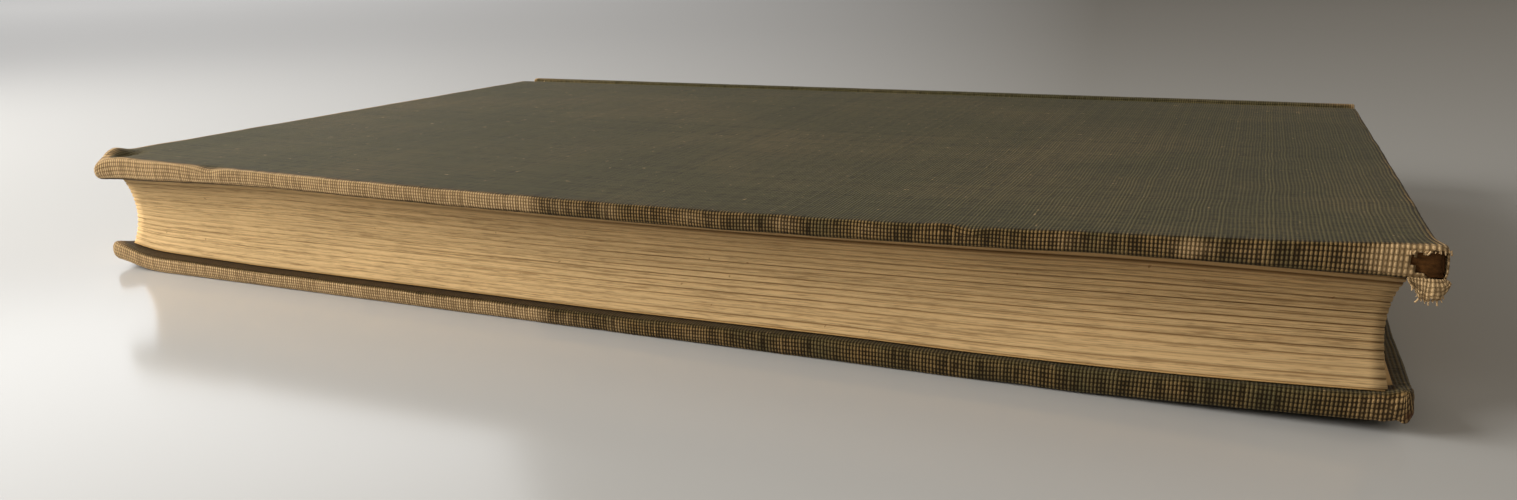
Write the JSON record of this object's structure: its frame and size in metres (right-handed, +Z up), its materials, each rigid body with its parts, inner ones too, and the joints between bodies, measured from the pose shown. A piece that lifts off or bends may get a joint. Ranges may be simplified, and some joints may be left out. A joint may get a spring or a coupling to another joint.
{
  "type": "hardback book",
  "caption": "Cloth-covered case-bound book lying closed on its back cover, with a rounded spine, worn corners and both covers hinged.",
  "frame": {"origin": "centre of the footprint, on the face that the book lies on", "axes": "+X from the tail to the head of the book, +Y from the fore-edge to the spine, +Z up through the front cover"},
  "size_m": [0.236, 0.1629, 0.025],
  "materials": {
    "leaves": "matte, browned edges",
    "endpaper": "matte, toned",
    "board": "matte pulp board",
    "cloth": "plain linen weave, worn",
    "gauze": "open cotton weave",
    "kraft": "matte kraft",
    "card": "matte card",
    "headband": "corded cotton"
  },
  "bodies": {
    "text_block": {"text_block": "leaves", "front_flyleaf": "endpaper", "back_flyleaf": "endpaper", "spine_mull": "gauze", "spine_liner": "kraft", "head_headband": "headband", "tail_headband": "headband", "spine_inlay": "card", "spine_cloth": "cloth"},
    "front_cover": {"front_board": "board", "front_cover_cloth": "cloth", "front_mull_flange": "gauze", "front_pastedown": "endpaper"},
    "back_cover": {"back_board": "board", "back_cover_cloth": "cloth", "back_mull_flange": "gauze", "back_pastedown": "endpaper"}
  },
  "joints": [
    {"name": "front_joint", "type": "hinge", "parent": "text_block", "child": "front_cover", "pos_m": [0, 0.07015, 0.0222], "axis": [-1, 0, 0], "range_deg": [0, 178]},
    {"name": "back_joint", "type": "hinge", "parent": "text_block", "child": "back_cover", "pos_m": [0, 0.07015, -0.0002], "axis": [1, 0, 0], "range_deg": [0, 178]}
  ]
}
